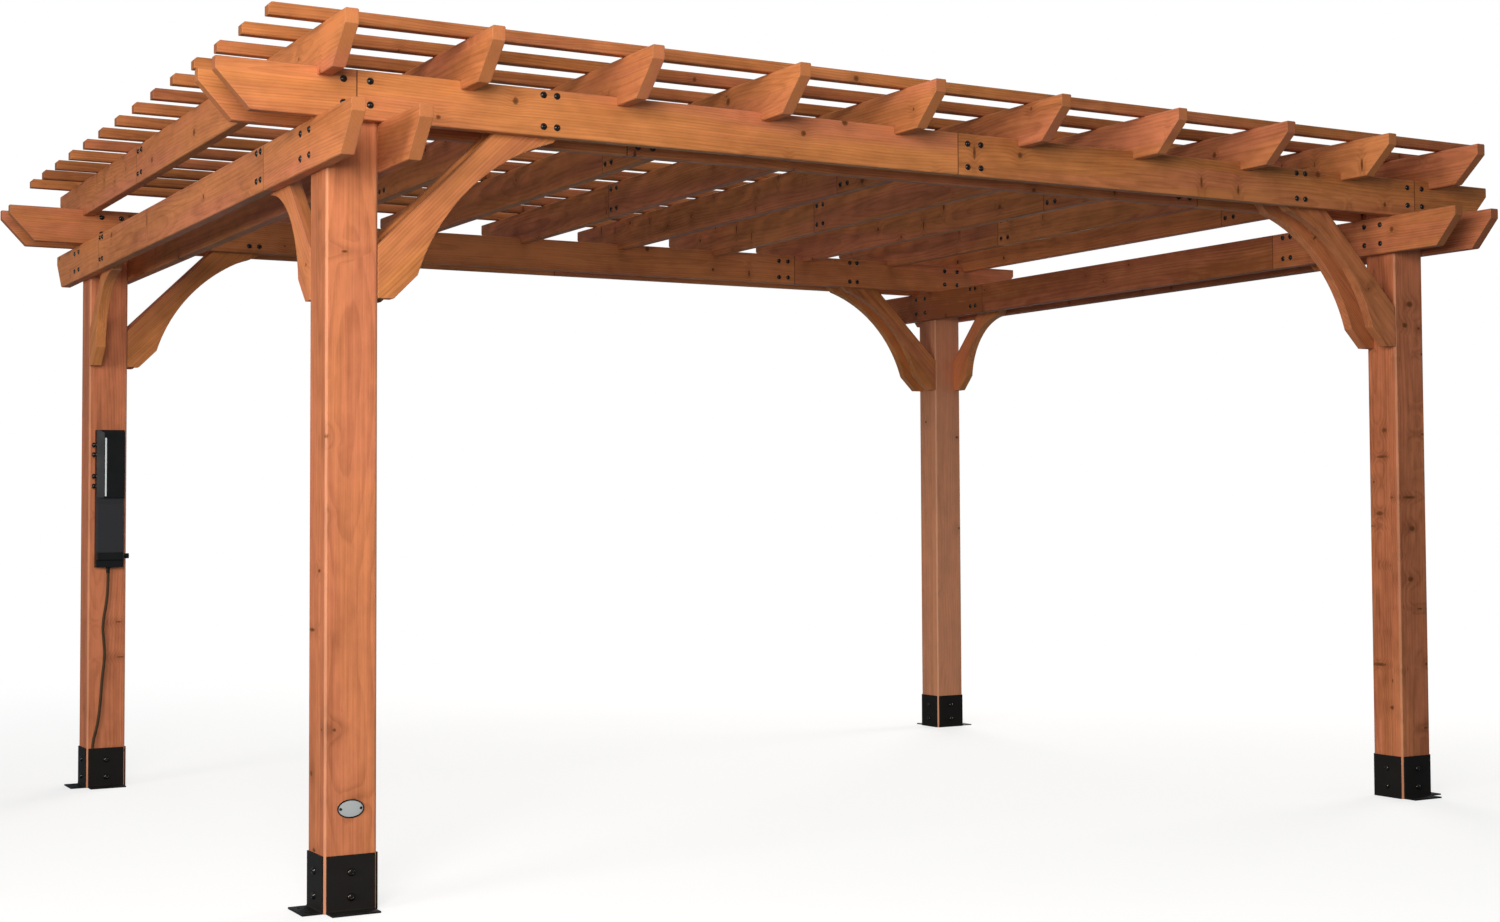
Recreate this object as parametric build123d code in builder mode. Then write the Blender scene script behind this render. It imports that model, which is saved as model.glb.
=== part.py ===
"""A free-standing wooden pergola: four posts, two tiers of paired beams, braces, rafters and slats.

Lengths are in millimetres. +X runs along the long beams, +Y from the front to the back, +Z up.
The origin is on the ground, in the middle of the four posts.
"""

import os
from math import cos, pi, radians, sin, tan

from build123d import *

# Posts
post_width = 148
post_ease = 6

# Boards, alike in both tiers of beams and in the rafters
board_thickness = 38
board_depth = 138
board_ease = 3
board_joint_gap = 0.6
tail_nose = 35
tail_cut = 94

# Short beams, the lower tier
short_beam_length = 3980
short_beam_overhang = 415
short_beam_underside = 2053
short_outer_joint = 418
short_inner_joint = 549

# Long beams, the upper tier
long_beam_length = 4876
long_beam_overhang = 388
long_outer_joint_offset = 36
long_inner_joint = 911

# Braces, sawn from the same boards
brace_angle = 45
brace_drop = 354
brace_foot_flat = 46
brace_nose_length = 99
brace_hollow = 72
brace_top_drop = 4
long_brace_chord = 582
long_brace_reach = 600
short_brace_chord = 395
short_brace_reach = 460

# Rafters
rafter_count = 10
rafter_overhang = 357
rafter_inset = 342
rafter_shift = 20
rafter_nose = 40
rafter_cut = 114
rafter_notch = 27
rafter_notch_clearance = 0.5
rafter_joint = 507

# Slats
slat_count = 14
slat_overhang = 265
slat_row_overhang = 160
slat_width = 38
slat_height = 36
slat_ease = 3
slat_end_chamfer = 9

# Foot brackets
bracket_width = 136
bracket_height = 157
bracket_thickness = 5
bracket_bend = 4
flange_reach = 58
anchor_hole = 14
anchor_hole_spacing = 70
anchor_hole_reach = 36

# Outlet box on the back left post
outlet_width = 106
outlet_offset = 3
outlet_bottom = 885
tray_height = 30
tray_depth = 36
ledge_height = 29
ledge_depth = 50
cover_height = 199
cover_depth = 42
neck_height = 22
neck_depth = 34
housing_height = 274
housing_depth = 52
housing_bevel = 26
housing_bevel_depth = 18
housing_top_bevel = 12
outlet_ease = 3
knob_diameter = 21
knob_length = 22

# Lead of the outlet box
cord_diameter = 11
cord_face_gap = 2.2
cord_arc_share = 0.45
gland_top_diameter = 15
gland_bottom_diameter = 13
gland_length = 24
cord_route = [
    (2, 861),
    (2, 800),
    (-4, 735),
    (-18, 655),
    (-13, 590),
    (-7, 530),
    (-19, 430),
    (-23, 355),
    (-33, 255),
    (-53, 185),
    (-53, 157),
]

# One overrun serves all cuts
overrun = 20

# Places worked out from the driving dimensions
post_half = post_width / 2
post_x = long_beam_length / 2 - long_beam_overhang
post_y = short_beam_length / 2 - short_beam_overhang
short_beam_top = short_beam_underside + board_depth
long_beam_underside = short_beam_top
long_beam_top = long_beam_underside + board_depth
rafter_underside = long_beam_top - rafter_notch
rafter_top = rafter_underside + board_depth
rafter_length = 2 * (post_y + rafter_overhang)
end_rafter_x = post_x + post_half + board_thickness / 2
first_rafter_x = post_x - rafter_inset
rafter_spacing = 2 * first_rafter_x / (rafter_count - 3)
slat_length = 2 * (post_x + slat_overhang)
slat_spacing = 2 * (post_y + slat_row_overhang) / (slat_count - 1)
brace_bottom = short_beam_underside - brace_drop
brace_rise = sin(radians(brace_angle))
brace_run = cos(radians(brace_angle))
brace_contact = (board_depth - brace_foot_flat * brace_rise) / brace_run
brace_upper_foot = brace_bottom + brace_contact

sides = {"front": -1, "back": 1}
ends = {"left": -1, "right": 1}

os.makedirs("parts", exist_ok=True)


def write(builder, name):
    """Label a finished piece and write it under its own name."""
    builder.part.label = name
    export_step(builder.part, f"parts/{name}.step")


def along_x(y, z):
    """A plane for profiles drawn in X and Z, at the given Y, with its normal to the back."""
    return Plane(origin=(0, y, z), x_dir=(-1, 0, 0), z_dir=(0, 1, 0))


def along_y(x, z):
    """A plane for profiles drawn in Y and Z, at the given X, with its normal to the right."""
    return Plane(origin=(x, 0, z), x_dir=(0, 1, 0), z_dir=(1, 0, 0))


def tailed_outline(length, nose=tail_nose, cut=tail_cut):
    """Corners of a board on edge whose ends have a short nose and a slanting cut below it."""
    half = length / 2
    return [
        (-half, board_depth),
        (half, board_depth),
        (half, board_depth - nose),
        (half - cut, 0),
        (-half + cut, 0),
        (-half, board_depth - nose),
    ]


def joint_cuts(plane, places):
    """Saw cuts across a board on edge, where its lengths butt at the given places."""
    with BuildSketch(plane) as cuts:
        for place in places:
            with Locations((place, board_depth / 2)):
                Rectangle(board_joint_gap, board_depth + 2 * overrun)
    return cuts.sketch


# Posts
for side, y_sign in sides.items():
    for end, x_sign in ends.items():
        with BuildPart() as post:
            with BuildSketch():
                with Locations((x_sign * post_x, y_sign * post_y)):
                    Rectangle(post_width, post_width)
            extrude(amount=long_beam_top)
            chamfer(post.edges().filter_by(Axis.Z), post_ease)
        write(post, f"post_{side}_{end}")

# Foot brackets: a plate on each face of a post, two of them bent outwards as anchor flanges
faces = {"left": (-1, 0), "right": (1, 0), "front": (0, -1), "back": (0, 1)}
flanged_faces = {
    ("front", "left"): ("left", "front"),
    ("back", "left"): ("left", "front"),
    ("front", "right"): ("front", "right"),
    ("back", "right"): ("right", "back"),
}
for side, y_sign in sides.items():
    for end, x_sign in ends.items():
        with BuildPart() as brackets:
            for face, (out_x, out_y) in faces.items():
                foot = (
                    x_sign * post_x + out_x * post_half,
                    y_sign * post_y + out_y * post_half,
                    0,
                )
                flanged = face in flanged_faces[(side, end)]
                with BuildSketch(Plane(foot, x_dir=(out_x, out_y, 0), z_dir=(out_y, -out_x, 0))):
                    Rectangle(bracket_thickness, bracket_height, align=Align.MIN)
                    if flanged:
                        Rectangle(flange_reach, bracket_thickness, align=Align.MIN)
                        with Locations((bracket_thickness, bracket_thickness)):
                            Rectangle(bracket_bend, bracket_bend, align=Align.MIN)
                        with Locations((bracket_thickness + bracket_bend, bracket_thickness + bracket_bend)):
                            Circle(bracket_bend, mode=Mode.SUBTRACT)
                extrude(amount=bracket_width / 2, both=True)
                if flanged:
                    with BuildSketch(Plane(foot, x_dir=(out_x, out_y, 0), z_dir=(0, 0, 1))):
                        with Locations((anchor_hole_reach, 0)):
                            with GridLocations(0, anchor_hole_spacing, 1, 2):
                                Circle(anchor_hole / 2)
                    extrude(amount=bracket_thickness, mode=Mode.SUBTRACT)
        write(brackets, f"foot_brackets_{side}_{end}")

# Short beams: a board on either side of each pair of posts
short_joints = {"outer": short_outer_joint, "inner": short_inner_joint}
for end, x_sign in ends.items():
    for layer, joint in short_joints.items():
        out_sign = x_sign if layer == "outer" else -x_sign
        board_centre = x_sign * post_x + out_sign * (post_half + board_thickness / 2)
        board_plane = along_y(board_centre - board_thickness / 2, short_beam_underside)
        with BuildPart() as short_beam:
            with BuildSketch(board_plane):
                Polygon(*tailed_outline(short_beam_length), align=None)
            extrude(amount=board_thickness)
            chamfer(short_beam.edges().filter_by(Axis.Y), board_ease)
            cuts = joint_cuts(board_plane, (joint - post_y, post_y - joint))
            extrude(cuts, amount=board_thickness, mode=Mode.SUBTRACT)
        write(short_beam, f"short_beam_{end}_{layer}")

# Long beams: a board on either side of each pair of posts, resting on the short beams
long_joints = {
    "outer": (-post_x, long_outer_joint_offset, post_x),
    "inner": (long_inner_joint - post_x, post_x - long_inner_joint),
}
for side, y_sign in sides.items():
    for layer, joints in long_joints.items():
        out_sign = y_sign if layer == "outer" else -y_sign
        board_centre = y_sign * post_y + out_sign * (post_half + board_thickness / 2)
        board_plane = along_x(board_centre - board_thickness / 2, long_beam_underside)
        with BuildPart() as long_beam:
            with BuildSketch(board_plane):
                Polygon(*tailed_outline(long_beam_length), align=None)
            extrude(amount=board_thickness)
            chamfer(long_beam.edges().filter_by(Axis.X), board_ease)
            cuts = joint_cuts(board_plane, joints)
            extrude(cuts, amount=board_thickness, mode=Mode.SUBTRACT)
        write(long_beam, f"long_beam_{side}_{layer}")


def brace_outline(chord, reach, top):
    """Edges of a brace: out from the post is the first coordinate, height is the second.

    The brace is a board set at a slant. Its upper edge is straight, its lower edge keeps a short
    straight nose above the foot and is then hollowed to an arc, and its head is cut level and plumb.
    """
    along = Vector(brace_run, brace_rise)
    inward = Vector(-brace_rise, brace_run)
    foot = Vector(brace_foot_flat, brace_bottom)
    arc_start = foot + along * brace_nose_length
    arc_end = arc_start + along * chord
    arc_middle = arc_start + along * (chord / 2) + inward * brace_hollow
    head_low = arc_end + along * ((reach - arc_end.X) / brace_run)
    head_back = (top - brace_upper_foot) / brace_rise * brace_run
    Polyline((0, brace_upper_foot), (0, brace_bottom), foot, arc_start)
    ThreePointArc(arc_start, arc_middle, arc_end)
    Polyline(arc_end, head_low, (reach, top), (head_back, top), (0, brace_upper_foot))


# Long braces: a board on either side of the post, between the boards of the long beam
long_brace_top = long_beam_top - brace_top_drop
for side, y_sign in sides.items():
    for end, x_sign in ends.items():
        with BuildPart() as long_brace:
            for face_sign in (-1, 1):
                brace_plane = Plane(
                    origin=(x_sign * (post_x - post_half), y_sign * post_y + face_sign * post_half, 0),
                    x_dir=(-x_sign, 0, 0),
                    z_dir=(0, x_sign, 0),
                )
                with BuildSketch(brace_plane):
                    with BuildLine():
                        brace_outline(long_brace_chord, long_brace_reach, long_brace_top)
                    make_face()
                extrude(amount=-face_sign * x_sign * board_thickness)
        write(long_brace, f"long_brace_{side}_{end}")

# Short braces: one board flush with the outer face of the post, behind the outer short beam
short_brace_top = short_beam_top - brace_top_drop
for side, y_sign in sides.items():
    for end, x_sign in ends.items():
        brace_plane = Plane(
            origin=(x_sign * (post_x + post_half), y_sign * (post_y - post_half), 0),
            x_dir=(0, -y_sign, 0),
            z_dir=(-y_sign, 0, 0),
        )
        with BuildPart() as short_brace:
            with BuildSketch(brace_plane):
                with BuildLine():
                    brace_outline(short_brace_chord, short_brace_reach, short_brace_top)
                make_face()
            extrude(amount=x_sign * y_sign * board_thickness)
        write(short_brace, f"short_brace_{side}_{end}")

# Rafters: notched over both pairs of long beams, the end ones against the posts,
# the others a little left of the middle, their joints by turns to the back and to the front
left_rafter_x = first_rafter_x + rafter_shift
inner_rafters = [rafter_spacing * step - left_rafter_x for step in range(rafter_count - 2)]
rafter_places = [-end_rafter_x, *inner_rafters, end_rafter_x]
notch_width = post_width + 2 * board_thickness + 2 * rafter_notch_clearance
for number, x in enumerate(rafter_places, start=1):
    rafter_plane = along_y(x - board_thickness / 2, rafter_underside)
    with BuildPart() as rafter:
        with BuildSketch(rafter_plane):
            Polygon(*tailed_outline(rafter_length, rafter_nose, rafter_cut), align=None)
        extrude(amount=board_thickness)
        chamfer(rafter.edges().filter_by(Axis.Y), board_ease)
        with BuildSketch(rafter_plane):
            with Locations((-post_y, 0), (post_y, 0)):
                Rectangle(notch_width, 2 * rafter_notch)
        extrude(amount=board_thickness, mode=Mode.SUBTRACT)
        joint_y = rafter_joint if number % 2 else -rafter_joint
        cuts = joint_cuts(rafter_plane, (joint_y,))
        extrude(cuts, amount=board_thickness, mode=Mode.SUBTRACT)
    write(rafter, f"rafter_{number:02d}")

# Slats: laid across the rafters, the upper corners of their ends taken off
for number in range(1, slat_count + 1):
    y = slat_spacing * (number - (slat_count + 1) / 2)
    with BuildPart() as slat:
        with BuildSketch(Plane.XY.offset(rafter_top)):
            with Locations((0, y)):
                Rectangle(slat_length, slat_width)
        extrude(amount=slat_height)
        upper_ends = slat.faces().sort_by(Axis.Z)[-1].edges().filter_by(Axis.Y)
        chamfer(upper_ends, slat_end_chamfer)
        chamfer(slat.edges().filter_by(Axis.X), slat_ease)
    write(slat, f"slat_{number:02d}")

# Outlet box: housing with bevelled sides, plain cover and ledged tray, one above the other
outlet_x = outlet_offset - post_x
outlet_face = post_y - post_half
ledge_bottom = outlet_bottom + tray_height
cover_bottom = ledge_bottom + ledge_height
neck_bottom = cover_bottom + cover_height
housing_bottom = neck_bottom + neck_height
outlet_centre = Plane((outlet_x, outlet_face, 0), x_dir=(1, 0, 0), z_dir=(0, 0, 1))


def box_section(height, depth):
    """A plain block of the outlet box, standing out from the post face."""
    with BuildSketch(outlet_centre.offset(height)) as section:
        Rectangle(outlet_width, depth, align=(Align.CENTER, Align.MAX))
    return section.sketch


with BuildPart() as tray:
    extrude(box_section(outlet_bottom, tray_depth), amount=tray_height)
    extrude(box_section(ledge_bottom, ledge_depth), amount=ledge_height)
    ledge_corners = tray.edges().filter_by(Axis.Z).group_by(Axis.Y)[0]
    chamfer(ledge_corners, outlet_ease)
    with BuildSketch(Plane.YZ.offset(outlet_x + outlet_width / 2)):
        with Locations((outlet_face - ledge_depth / 2, ledge_bottom + ledge_height / 2)):
            Circle(knob_diameter / 2)
    extrude(amount=knob_length)
write(tray, "outlet_tray")

with BuildPart() as cover:
    extrude(box_section(cover_bottom, cover_depth), amount=cover_height)
    cover_corners = cover.edges().filter_by(Axis.Z).group_by(Axis.Y)[0]
    fillet(cover_corners, outlet_ease)
    extrude(box_section(neck_bottom, neck_depth), amount=neck_height)
write(cover, "outlet_cover")

with BuildPart() as housing:
    extrude(box_section(housing_bottom, housing_depth), amount=housing_height)
    left_corner = housing.edges().filter_by(Axis.Z).group_by(Axis.Y)[0].sort_by(Axis.X)[0]
    front_face = housing.faces().sort_by(Axis.Y)[0]
    chamfer(left_corner, housing_bevel, housing_bevel_depth, reference=front_face)
    top_edge = housing.faces().sort_by(Axis.Y)[0].edges().sort_by(Axis.Z)[-1]
    chamfer(top_edge, housing_top_bevel)
write(housing, "outlet_housing")

# Gland and lead, lying near the face of the post down to the foot bracket
cord_y = outlet_face - cord_diameter / 2 - cord_face_gap
gland_end = Plane((cord_route[0][0] - post_x, cord_y, outlet_bottom - gland_length))
with BuildPart(gland_end) as gland:
    Cone(
        bottom_radius=gland_bottom_diameter / 2,
        top_radius=gland_top_diameter / 2,
        height=gland_length,
        align=(Align.CENTER, Align.CENTER, Align.MIN),
    )
write(gland, "cord_gland")

cord_points = [Vector(offset - post_x, cord_y, height) for offset, height in cord_route]
cord_radii = []
for before, corner, after in zip(cord_points, cord_points[1:], cord_points[2:]):
    turn = radians((corner - before).get_angle(after - corner))
    shorter_run = min((corner - before).length, (after - corner).length)
    cord_radii.append(cord_arc_share * shorter_run / tan(turn / 2))
with BuildPart() as cord:
    with BuildLine() as route:
        FilletPolyline(*cord_points, radius=cord_radii)
    with BuildSketch(Plane(origin=route.line @ 0, z_dir=route.line % 0)):
        Circle(cord_diameter / 2)
    sweep()
write(cord, "power_cord")
print("cord radii", [round(radius) for radius in cord_radii])
cord_length = route.wire().length
cord_section = pi * cord_diameter**2 / 4
volume_share = cord.part.volume / (cord_section * cord_length)
print("cord length", round(cord_length), "volume share", round(volume_share, 4))
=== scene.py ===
import math

import bmesh
import bpy
from mathutils import Matrix, Vector


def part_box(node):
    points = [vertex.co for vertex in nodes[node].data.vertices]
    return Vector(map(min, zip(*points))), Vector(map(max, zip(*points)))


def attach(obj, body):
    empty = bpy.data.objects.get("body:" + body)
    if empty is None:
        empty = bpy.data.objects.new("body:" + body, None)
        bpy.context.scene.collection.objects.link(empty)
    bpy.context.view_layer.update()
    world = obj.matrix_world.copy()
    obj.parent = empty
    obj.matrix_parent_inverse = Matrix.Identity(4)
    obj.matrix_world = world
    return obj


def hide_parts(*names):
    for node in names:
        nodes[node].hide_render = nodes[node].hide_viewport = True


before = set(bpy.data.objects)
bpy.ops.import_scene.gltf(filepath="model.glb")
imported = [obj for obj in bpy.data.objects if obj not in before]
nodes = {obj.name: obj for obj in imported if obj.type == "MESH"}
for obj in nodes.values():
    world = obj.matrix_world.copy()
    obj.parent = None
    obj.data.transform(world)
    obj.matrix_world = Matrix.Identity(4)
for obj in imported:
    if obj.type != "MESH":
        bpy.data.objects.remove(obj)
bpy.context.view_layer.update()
scene = bpy.context.scene
print("pergola frame loaded:", len(nodes), "nodes")


# camera, placed as the photograph was taken

cameraView = {
    "place": (-3.8788, -7.3515, 1.0980),  # metres, row frame
    "yaw": 0.5453,  # from +Y towards +X, radians
    "pitch": 0.0391,
    "roll": -0.0066,
    "focal": 2099.36,  # pixels of the 1500 x 922 frame
    "middle": (853.85, 427.28),  # where the optical axis meets the frame
    "frame": (1500, 922),
    "sensor": 36.0,
}


def placeCamera(view):
    wide, tall = view["frame"]
    data = bpy.data.cameras.new("patioCamera")
    data.sensor_fit = "HORIZONTAL"
    data.sensor_width = view["sensor"]
    data.lens = view["focal"] / wide * view["sensor"]
    data.shift_x = -(view["middle"][0] - wide / 2) / wide
    data.shift_y = (view["middle"][1] - tall / 2) / wide
    data.clip_start, data.clip_end = 0.1, 200
    camera = bpy.data.objects.new("patioCamera", data)
    scene.collection.objects.link(camera)
    level = Vector((math.sin(view["yaw"]), math.cos(view["yaw"]), 0))
    right = Vector((math.cos(view["yaw"]), -math.sin(view["yaw"]), 0))
    rise = Vector((0, 0, 1))
    ahead = level * math.cos(view["pitch"]) + rise * math.sin(view["pitch"])
    up = rise * math.cos(view["pitch"]) - level * math.sin(view["pitch"])
    rightRolled = right * math.cos(view["roll"]) + up * math.sin(view["roll"])
    upRolled = up * math.cos(view["roll"]) - right * math.sin(view["roll"])
    turn = Matrix((rightRolled, upRolled, -ahead)).transposed()
    camera.matrix_world = Matrix.Translation(Vector(view["place"])) @ turn.to_4x4()
    scene.camera = camera


placeCamera(cameraView)
print("camera placed")


# shader helpers: a small wrapper keeps the node code short

class Wires:
    def __init__(self, tree):
        self.tree = tree

    def node(self, kind, inputs=(), **settings):
        made = self.tree.nodes.new(kind)
        for key, value in settings.items():
            setattr(made, key, value)
        for socket, value in dict(inputs).items():
            self.join(made.inputs[socket], value)
        return made

    def join(self, socket, value):
        if isinstance(value, bpy.types.NodeSocket):
            self.tree.links.new(value, socket)
        else:
            socket.default_value = value

    def maths(self, operation, *values, clamp=False):
        made = self.tree.nodes.new("ShaderNodeMath")
        made.operation = operation
        made.use_clamp = clamp
        for place, value in enumerate(values):
            self.join(made.inputs[place], value)
        return made.outputs[0]

    def vector(self, operation, *values):
        made = self.tree.nodes.new("ShaderNodeVectorMath")
        made.operation = operation
        for place, value in enumerate(values):
            self.join(made.inputs[place], value)
        return made.outputs["Value" if operation in ("DOT_PRODUCT", "LENGTH") else "Vector"]

    def ramp(self, value, low, high, start=0.0, end=1.0):
        made = self.tree.nodes.new("ShaderNodeMapRange")
        made.interpolation_type = "SMOOTHSTEP"
        for place, item in enumerate((value, low, high, start, end)):
            self.join(made.inputs[place], item)
        return made.outputs[0]

    def mix(self, share, first, second, blend="MIX"):
        made = self.tree.nodes.new("ShaderNodeMix")
        made.data_type = "RGBA"
        made.blend_type = blend
        self.join(made.inputs[0], share)
        self.join(made.inputs[6], first)
        self.join(made.inputs[7], second)
        return made.outputs[2]

    def noise(self, vector, scale, detail=2.0, rough=0.5):
        made = self.tree.nodes.new("ShaderNodeTexNoise")
        self.join(made.inputs["Vector"], vector)
        made.inputs["Scale"].default_value = scale
        made.inputs["Detail"].default_value = detail
        made.inputs["Roughness"].default_value = rough
        return made.outputs[0]

    def combine(self, x, y, z):
        return self.node("ShaderNodeCombineXYZ", {"X": x, "Y": y, "Z": z}).outputs[0]

    def split(self, vector):
        return self.node("ShaderNodeSeparateXYZ", {"Vector": vector}).outputs


def newGroup(name, takes, gives):
    tree = bpy.data.node_groups.new(name, "ShaderNodeTree")
    for label, kind, value in takes:
        socket = tree.interface.new_socket(label, in_out="INPUT", socket_type="NodeSocket" + kind)
        if value is not None:
            socket.default_value = value
    for label, kind in gives:
        tree.interface.new_socket(label, in_out="OUTPUT", socket_type="NodeSocket" + kind)
    wires = Wires(tree)
    source = tree.nodes.new("NodeGroupInput")
    sink = tree.nodes.new("NodeGroupOutput")
    return wires, source.outputs, sink.inputs


def useGroup(wires, group, **values):
    made = wires.tree.nodes.new("ShaderNodeGroup")
    made.node_tree = bpy.data.node_groups[group]
    for label, value in values.items():
        wires.join(made.inputs[label.replace("_", " ")], value)
    return made.outputs


# shared effects

def buildSoftEdges():
    wires, takes, gives = newGroup(
        "softEdges",
        [("Radius", "Float", 0.004)],
        [("Mask", "Float"), ("Normal", "Vector")],
    )
    bevel = wires.node("ShaderNodeBevel", {"Radius": takes["Radius"]}, samples=4)
    flat = wires.node("ShaderNodeNewGeometry").outputs["Normal"]
    turned = wires.vector("DOT_PRODUCT", bevel.outputs[0], flat)
    wires.join(gives["Mask"], wires.ramp(turned, 0.995, 0.80))  # cosines of the bend across an edge
    wires.join(gives["Normal"], bevel.outputs[0])


boardLengths = {
    "noJoint": 99.0,  # metres, far off any board
    "seamFrom": 0.0030,  # from the joint
    "seamTo": 0.0008,
    "pairGap": 0.028,  # past it lies the second board of a brace pair
    "pairSeed": 5.0,
}


def buildBoardLengths(values):
    # which length of a jointed board a point lies in, as a number, and its tone
    wires, takes, gives = newGroup(
        "boardLengths",
        [("Grain", "Vector", None), ("Joint A", "Float", values["noJoint"]), ("Joint B", "Float", values["noJoint"]),
         ("Joint C", "Float", values["noJoint"]), ("Step A", "Float", 0.0), ("Step B", "Float", 0.0),
         ("Step C", "Float", 0.0), ("Tone", "Float", 0.0), ("Seed", "Float", 0.0)],
        [("Seed", "Float"), ("Seam", "Float"), ("Tone", "Float")],
    )
    grain = wires.split(takes["Grain"])
    count, seam, tone = takes["Seed"], 0.0, takes["Tone"]
    for letter in "ABC":
        past = wires.maths("SUBTRACT", grain["X"], takes["Joint " + letter])
        beyond = wires.maths("GREATER_THAN", past, 0.0)
        count = wires.maths("ADD", count, beyond)
        tone = wires.maths("ADD", tone, wires.maths("MULTIPLY", beyond, takes["Step " + letter]))
        near = wires.ramp(wires.maths("ABSOLUTE", past), values["seamFrom"], values["seamTo"])
        seam = wires.maths("MAXIMUM", seam, near)
    wires.join(gives["Seam"], seam)
    wires.join(gives["Tone"], tone)
    side = wires.maths("GREATER_THAN", grain["Z"], values["pairGap"])
    wires.join(gives["Seed"], wires.maths("ADD", count, wires.maths("MULTIPLY", side, values["pairSeed"])))


cedarGrain = {
    "lotSpread": (31.0, 9.0),  # metres between boards in the pattern, along and across
    "knotSize": (0.004, 0.008),  # least radius and how much more
    "knotRagged": (150.0, 0.006),  # scale of the ragged outline and its depth
    "spikeFrom": (0.55, 0.75),  # share of the knots that are drawn out across the board
    "spikeShape": (0.70, 0.55),  # how much shorter along and longer across
    "pullReach": 0.055,  # grain bends this far round a knot
    "pullDepth": 0.010,
    "pith": (0.20, 0.10),  # spread of the ring centre across and through the board
    "wander": (0.09, 0.11),  # how far it wanders along the board
    "waverScale": (2.2, 16.0),  # ripples of the rings, along and across
    "waverDepth": 0.012,
    "lateShare": 0.20,  # of the dark part of a ring
    "fibre": (7.0, 420.0, 2.0, 0.50),  # scale along, scale across, detail, share
    "line": (1.6, 125.0, 2.0, 0.65),
    "streak": (0.6, 30.0, 3.0, 0.60),
    "patch": (1.3, 5.0, 2.0, 0.95),
    "mottle": (11.0, 24.0, 3.0, 0.80),
    "rosyPatch": (0.8, 7.0, 2.0),
    "rosyTint": (0.97, 0.87, 1.28, 1),
    "middleTone": 0.44,
    "boardTone": 0.30,  # from board to board
    "endTone": 0.12,
    "endCalm": 0.72,  # figure lost on sawn ends
    "stripTone": 0.14,  # beyond a glue line
    "glueTone": 0.30,
    "glueLine": (0.0016, 0.0004),  # half widths
    "pullTone": 0.22,
    "edgeShare": 5.0,  # of bare wood to the worn edge's tone
    "knotShares": (0.85, 0.45, 0.75),  # share of the faded-and-highlight colour at an edge mark; on edges it is a painted highlight
    "seamShare": 0.80,
    "roughness": (0.52, 0.20),  # least, and the fibre's share
    "height": (0.6, 0.35, 0.5),  # fibre, late wood, knot's rim
}


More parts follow.
